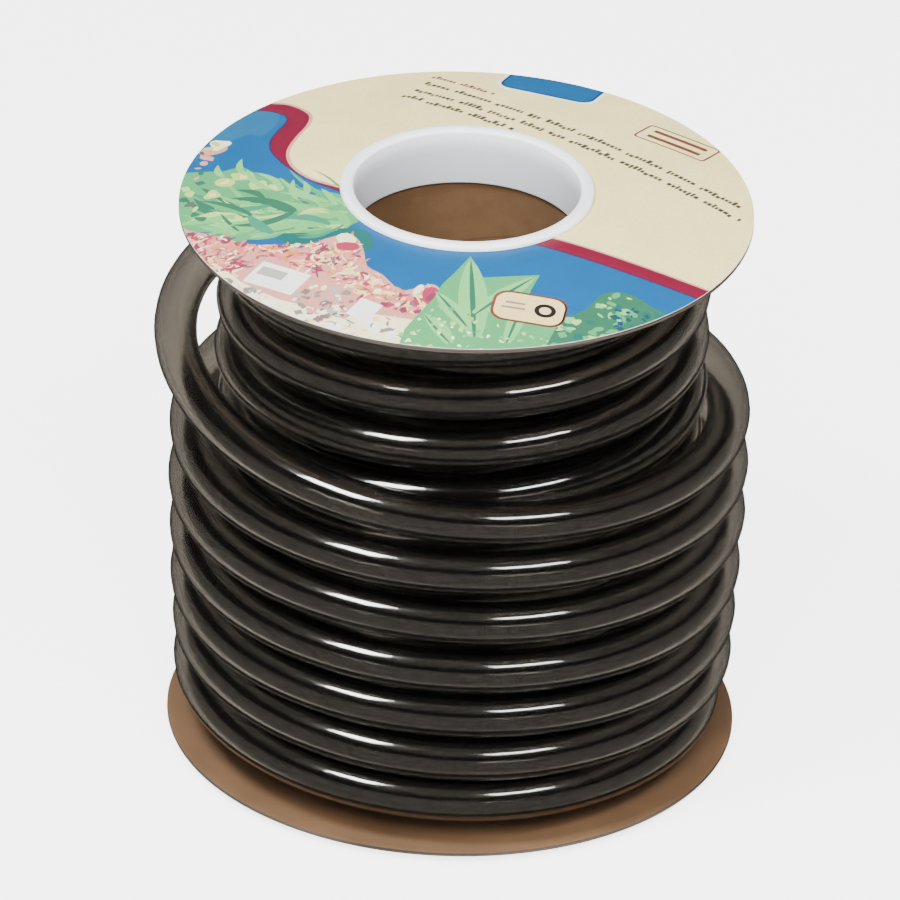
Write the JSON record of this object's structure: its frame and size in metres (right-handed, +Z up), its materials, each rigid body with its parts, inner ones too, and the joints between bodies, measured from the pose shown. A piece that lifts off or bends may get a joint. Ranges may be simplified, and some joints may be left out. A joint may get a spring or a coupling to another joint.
{
  "type": "hose reel",
  "caption": "Cardboard reel with a dished printed top flange and white hub collars, wound with clear smoke-grey PVC hose whose last turn has sprung loose.",
  "frame": {"origin": "on the surface that the reel stands on, under the middle of its core", "axes": "+Z up along the core; -Y towards the side where the hose's last turn leaves the winding, so that it rises on the -X side"},
  "size_m": [0.3059, 0.2992, 0.3136],
  "materials": {
    "core_board": "brown kraft board, spirally wound",
    "flange_board": "flat kraft board with a dark cut edge",
    "printed_sheet": "coated paper with a satin print",
    "collar_plastic": "white moulded plastic, satin",
    "hose_pvc": "glossy see-through smoke-grey PVC"
  },
  "bodies": {
    "root": {"core_tube": "core_board", "bottom_flange": "flange_board", "top_flange": "flange_board", "top_label": "printed_sheet", "top_collar": "collar_plastic", "bottom_collar": "collar_plastic", "hose_inner_layers": "hose_pvc", "hose_outer_layer": "hose_pvc", "hose_loose_turn": "hose_pvc"}
  },
  "joints": []
}
